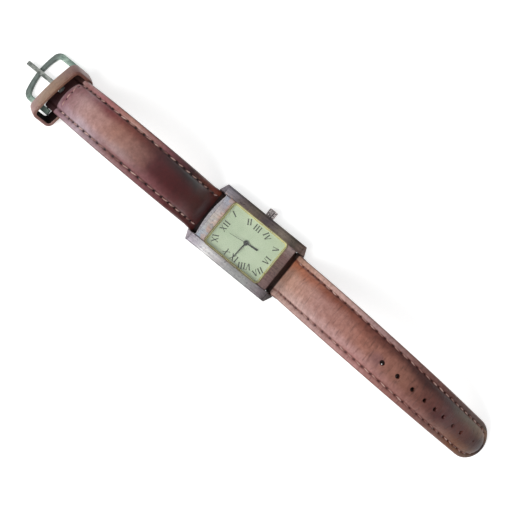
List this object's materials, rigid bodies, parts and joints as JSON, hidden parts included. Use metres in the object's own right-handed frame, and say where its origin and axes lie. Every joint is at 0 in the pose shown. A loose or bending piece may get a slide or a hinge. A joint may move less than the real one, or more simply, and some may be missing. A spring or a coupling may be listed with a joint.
{
  "type": "wristwatch",
  "caption": "Rectangular quartz wristwatch with Roman numeral dial, fluted crown and a two-piece leather strap with keeper loop and pin buckle.",
  "frame": {"origin": "middle of the case back's flat outer face, on the surface the watch lies on", "axes": "+X to 3 o'clock, +Y to 12 o'clock, +Z out of the dial"},
  "size_m": [0.0252, 0.1914, 0.0307],
  "materials": {
    "case_steel": "worn plating, brushed",
    "case_back_steel": "brushed",
    "movement_brass": "fine satin",
    "movement_steel": "polished",
    "hand_black": "gloss",
    "bezel_gold": "polished, tarnished",
    "dial_green": "matte",
    "crystal_glass": "clear",
    "gasket_nylon": "translucent",
    "gasket_rubber": "matte",
    "holder_plastic": "moulded",
    "board_green": "solder mask",
    "chip_black": "matte",
    "coil_copper": null,
    "crown_steel": "fluted, worn",
    "leather_top": "worn brown",
    "leather_filler": "rough",
    "leather_lining": "suede",
    "keeper_leather": "worn tan",
    "buckle_metal": "corroded, verdigris"
  },
  "bodies": {
    "case": {"case_body": "case_steel", "case_back": "case_back_steel", "case_back_screw_left_low": "case_back_steel", "case_back_screw_right_low": "case_back_steel", "case_back_screw_left_high": "case_back_steel", "case_back_screw_right_high": "case_back_steel", "case_back_gasket": "gasket_rubber", "bezel_ring": "bezel_gold", "crystal_gasket": "gasket_nylon", "crystal": "crystal_glass", "dial": "dial_green", "crown_tube": "case_back_steel", "main_plate": "movement_brass", "train_bridge": "movement_brass", "bridge_screw": "movement_steel", "stator": "movement_steel", "coil_core": "movement_steel", "coil_winding": "coil_copper", "circuit_board": "board_green", "chip": "chip_black", "quartz_can": "movement_steel", "battery": "movement_steel", "battery_clamp": "movement_steel", "movement_holder": "holder_plastic", "lug_bar_high_tube": "movement_steel", "lug_bar_high_spring": "movement_steel", "lug_bar_low_tube": "movement_steel", "lug_bar_low_spring": "movement_steel"},
    "setting": {"sliding_pinion": "movement_steel"},
    "crown": {"crown": "crown_steel", "stem": "movement_steel", "crown_gasket": "gasket_rubber"},
    "minute": {"cannon_pinion": "movement_brass", "minute_hand": "hand_black"},
    "minute_wheel": {"minute_wheel": "movement_brass"},
    "hour": {"hour_wheel": "movement_brass", "hour_hand": "hand_black"},
    "intermediate": {"intermediate_wheel": "movement_brass"},
    "seconds": {"seconds_wheel": "movement_brass", "seconds_hand": "hand_black"},
    "third": {"third_wheel": "movement_brass"},
    "centre": {"centre_wheel": "movement_brass"},
    "rotor": {"rotor": "movement_steel"},
    "strap_short": {"strap_short_top": "leather_top", "strap_short_filler": "leather_filler", "strap_short_lining": "leather_lining"},
    "strap_long": {"strap_long_top": "leather_top", "strap_long_filler": "leather_filler", "strap_long_lining": "leather_lining"},
    "keeper": {"keeper_loop": "keeper_leather"},
    "buckle": {"buckle_frame": "buckle_metal", "buckle_bar_tube": "movement_steel", "buckle_bar_spring": "movement_steel"},
    "tongue": {"buckle_tongue": "buckle_metal"},
    "lug_bar_high_tip_left": {"lug_bar_high_tip_left": "movement_steel"},
    "lug_bar_high_tip_right": {"lug_bar_high_tip_right": "movement_steel"},
    "lug_bar_low_tip_left": {"lug_bar_low_tip_left": "movement_steel"},
    "lug_bar_low_tip_right": {"lug_bar_low_tip_right": "movement_steel"},
    "buckle_bar_tip_left": {"buckle_bar_tip_left": "movement_steel"},
    "buckle_bar_tip_right": {"buckle_bar_tip_right": "movement_steel"}
  },
  "joints": [
    {"name": "strap_short_hinge", "type": "hinge", "parent": "case", "child": "strap_short", "pos_m": [0, 0.016, 0.0023], "axis": [1, 0, 0], "range_deg": [-95, 20]},
    {"name": "strap_long_hinge", "type": "hinge", "parent": "case", "child": "strap_long", "pos_m": [0, -0.016, 0.0023], "axis": [-1, 0, 0], "range_deg": [-95, 15]},
    {"name": "keeper_slide", "type": "slide", "parent": "strap_short", "child": "keeper", "axis": [0, -0.6691, 0.7431], "range_m": [0, 0.008]},
    {"name": "buckle_hinge", "type": "hinge", "parent": "strap_short", "child": "buckle", "pos_m": [0.0009, 0.077, 0.0015], "axis": [1, 0, 0], "range_deg": [-35, 30]},
    {"name": "tongue_hinge", "type": "hinge", "parent": "buckle", "child": "tongue", "pos_m": [0.0009, 0.077, 0.0015], "axis": [1, 0, 0], "range_deg": [0, 38]},
    {"name": "crown_turn", "type": "hinge", "parent": "case", "child": "setting", "pos_m": [0, -0.0006, 0.0031], "axis": [1, 0, 0], "continuous": true},
    {"name": "crown_pull", "type": "slide", "parent": "setting", "child": "crown", "axis": [1, 0, 0], "range_m": [0, 0.0009]},
    {"name": "minute_turn", "type": "hinge", "parent": "case", "child": "minute", "pos_m": [0, 0, 0], "axis": [0, 0, -1], "continuous": true},
    {"name": "minute_wheel_turn", "type": "hinge", "parent": "case", "child": "minute_wheel", "pos_m": [-0.00173, 0.001, 0], "axis": [0, 0, -1], "continuous": true},
    {"name": "hour_turn", "type": "hinge", "parent": "case", "child": "hour", "pos_m": [0, 0, 0], "axis": [0, 0, -1], "continuous": true},
    {"name": "intermediate_turn", "type": "hinge", "parent": "case", "child": "intermediate", "pos_m": [0.0014, 0.00242, 0], "axis": [0, 0, -1], "continuous": true},
    {"name": "seconds_turn", "type": "hinge", "parent": "case", "child": "seconds", "pos_m": [0, 0, 0], "axis": [0, 0, -1], "continuous": true},
    {"name": "third_turn", "type": "hinge", "parent": "case", "child": "third", "pos_m": [-0.00256, -0.00093, 0], "axis": [0, 0, -1], "continuous": true},
    {"name": "centre_turn", "type": "hinge", "parent": "case", "child": "centre", "pos_m": [0, 0, 0], "axis": [0, 0, -1], "continuous": true},
    {"name": "rotor_turn", "type": "hinge", "parent": "case", "child": "rotor", "pos_m": [0.00212, 0.00367, 0], "axis": [0, 0, -1], "continuous": true},
    {"name": "lug_bar_high_tip_left_press", "type": "slide", "parent": "case", "child": "lug_bar_high_tip_left", "axis": [1, 0, 0], "range_m": [0, 0.00085], "stiffness_N_per_m": 200, "springref_m": -0.001},
    {"name": "lug_bar_high_tip_right_press", "type": "slide", "parent": "case", "child": "lug_bar_high_tip_right", "axis": [-1, 0, 0], "range_m": [0, 0.00085], "stiffness_N_per_m": 200, "springref_m": -0.001},
    {"name": "lug_bar_low_tip_left_press", "type": "slide", "parent": "case", "child": "lug_bar_low_tip_left", "axis": [1, 0, 0], "range_m": [0, 0.00085], "stiffness_N_per_m": 200, "springref_m": -0.001},
    {"name": "lug_bar_low_tip_right_press", "type": "slide", "parent": "case", "child": "lug_bar_low_tip_right", "axis": [-1, 0, 0], "range_m": [0, 0.00085], "stiffness_N_per_m": 200, "springref_m": -0.001},
    {"name": "buckle_bar_tip_left_press", "type": "slide", "parent": "buckle", "child": "buckle_bar_tip_left", "axis": [1, 0, 0], "range_m": [0, 0.00085], "stiffness_N_per_m": 200, "springref_m": -0.001},
    {"name": "buckle_bar_tip_right_press", "type": "slide", "parent": "buckle", "child": "buckle_bar_tip_right", "axis": [-1, 0, 0], "range_m": [0, 0.00085], "stiffness_N_per_m": 200, "springref_m": -0.001}
  ],
  "couplings": [
    {"joint": "minute_wheel_turn", "follows": "minute_turn", "ratio": -0.33333},
    {"joint": "hour_turn", "follows": "minute_turn", "ratio": 0.083333},
    {"joint": "seconds_turn", "follows": "intermediate_turn", "ratio": -0.16667},
    {"joint": "third_turn", "follows": "intermediate_turn", "ratio": 0.022222},
    {"joint": "centre_turn", "follows": "intermediate_turn", "ratio": -0.0027778},
    {"joint": "rotor_turn", "follows": "intermediate_turn", "ratio": -5}
  ]
}
